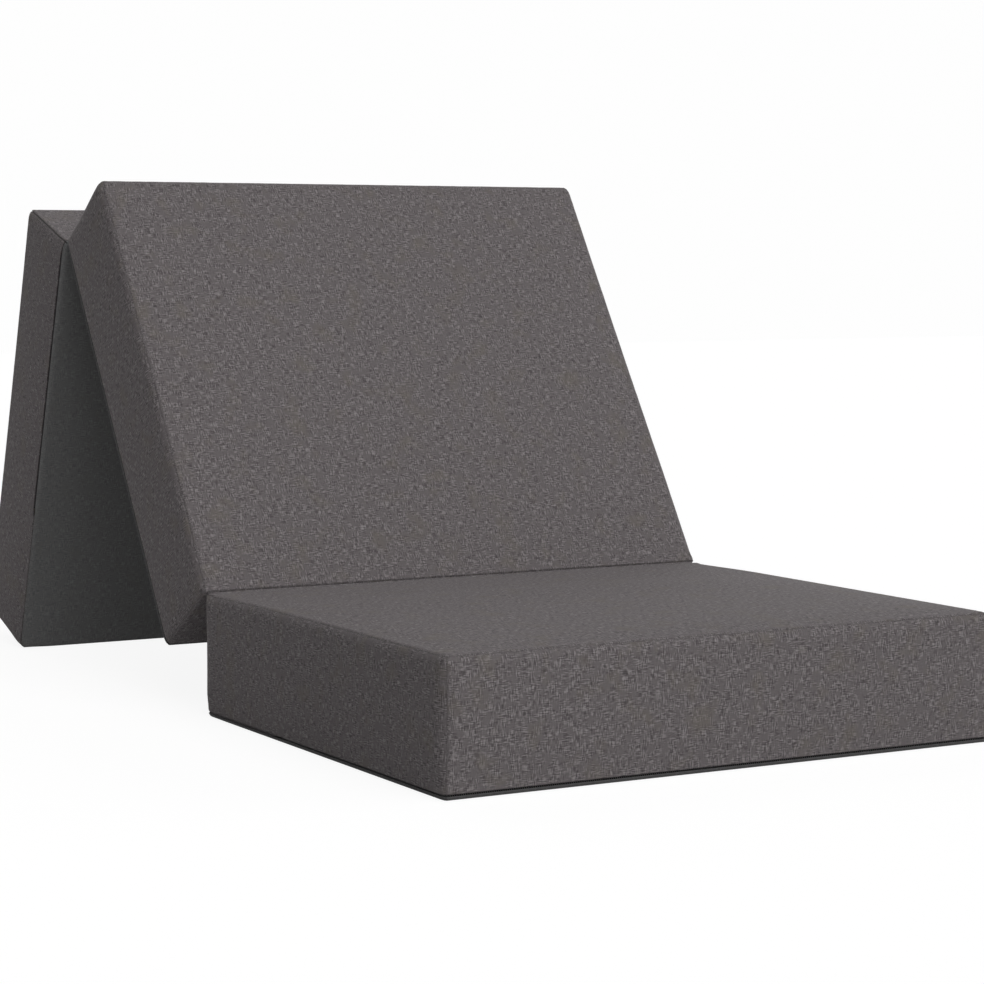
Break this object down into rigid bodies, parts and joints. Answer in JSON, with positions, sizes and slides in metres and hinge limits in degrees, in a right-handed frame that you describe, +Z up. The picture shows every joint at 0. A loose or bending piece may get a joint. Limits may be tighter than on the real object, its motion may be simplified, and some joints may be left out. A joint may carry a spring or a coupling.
{
  "type": "convertible chair bed",
  "caption": "Folding foam chair bed set up as a chair: a flat seat block, a backrest leaning back from its rear edge and a block behind that props it up, in zipped woven covers.",
  "frame": {"origin": "on the floor, under the middle of the whole chair", "axes": "+X to the sitter's left as they sit, across the chair; +Y from the seat's front to the support behind; +Z up from the floor"},
  "size_m": [0.704, 1.3812, 0.643],
  "materials": {
    "cover_fabric": "melange plain weave",
    "base_fabric": "melange plain weave",
    "hinge_fabric": "melange plain weave",
    "foam": "open-cell foam",
    "zip_tape": "woven tape",
    "zip_chain": "nylon coil",
    "zip_metal": "satin"
  },
  "bodies": {
    "seat": {"seat_foam_core": "foam", "seat_top_panel": "cover_fabric", "seat_side_band": "cover_fabric", "seat_base_panel": "base_fabric", "seat_zip_lower_tape": "zip_tape", "seat_zip_upper_tape": "zip_tape", "seat_zip_chain": "zip_chain", "seat_zip_start_stop": "zip_metal", "seat_zip_end_stop": "zip_metal", "seat_hinge_strip": "hinge_fabric"},
    "backrest": {"backrest_foam_core": "foam", "backrest_top_panel": "cover_fabric", "backrest_side_band": "cover_fabric", "backrest_base_panel": "base_fabric", "backrest_zip_lower_tape": "zip_tape", "backrest_zip_upper_tape": "zip_tape", "backrest_zip_chain": "zip_chain", "backrest_zip_start_stop": "zip_metal", "backrest_zip_end_stop": "zip_metal", "backrest_lower_hinge_strip": "hinge_fabric", "backrest_upper_hinge_strip": "hinge_fabric", "seat_hinge_fold": "hinge_fabric"},
    "support": {"support_foam_core": "foam", "support_top_panel": "cover_fabric", "support_side_band": "cover_fabric", "support_base_panel": "base_fabric", "support_zip_lower_tape": "zip_tape", "support_zip_upper_tape": "zip_tape", "support_zip_chain": "zip_chain", "support_zip_start_stop": "zip_metal", "support_zip_end_stop": "zip_metal", "support_hinge_strip": "hinge_fabric", "support_hinge_fold": "hinge_fabric"},
    "seat_slider": {"seat_zip_slider": "zip_metal"},
    "seat_pull": {"seat_zip_pull": "zip_metal"},
    "backrest_slider": {"backrest_zip_slider": "zip_metal"},
    "backrest_pull": {"backrest_zip_pull": "zip_metal"},
    "support_slider": {"support_zip_slider": "zip_metal"},
    "support_pull": {"support_zip_pull": "zip_metal"}
  },
  "joints": [
    {"name": "backrest_hinge", "type": "hinge", "parent": "seat", "child": "backrest", "pos_m": [0, -0.09059, 0.146], "axis": [1, 0, 0], "range_deg": [-56.7, 118]},
    {"name": "support_hinge", "type": "hinge", "parent": "backrest", "child": "support", "pos_m": [0, 0.36085, 0.56733], "axis": [1, 0, 0], "range_deg": [-49.6, 127.94]},
    {"name": "seat_zip", "type": "slide", "parent": "seat", "child": "seat_slider", "axis": [0, -1, 0], "range_m": [0, 0.34], "deforming": ["seat_zip_chain"]},
    {"name": "backrest_zip", "type": "slide", "parent": "backrest", "child": "backrest_slider", "axis": [0, -0.549, -0.8358], "range_m": [0, 0.34], "deforming": ["backrest_zip_chain"]},
    {"name": "support_zip", "type": "slide", "parent": "support", "child": "support_slider", "axis": [0, -0.3216, 0.9469], "range_m": [0, 0.34], "deforming": ["support_zip_chain"]},
    {"name": "seat_pull_hinge", "type": "hinge", "parent": "seat_slider", "child": "seat_pull", "pos_m": [0.35221, -0.31239, 0.0054], "axis": [0, 0, 1], "range_deg": [0, 180]},
    {"name": "backrest_pull_hinge", "type": "hinge", "parent": "backrest_slider", "child": "backrest_pull", "pos_m": [0.35221, 0.23456, 0.38491], "axis": [0, -0.8358, 0.549], "range_deg": [0, 180]},
    {"name": "support_pull_hinge", "type": "hinge", "parent": "support_slider", "child": "support_pull", "pos_m": [0.35221, 0.48758, 0.21095], "axis": [0, -0.9469, -0.3216], "range_deg": [0, 180]}
  ]
}
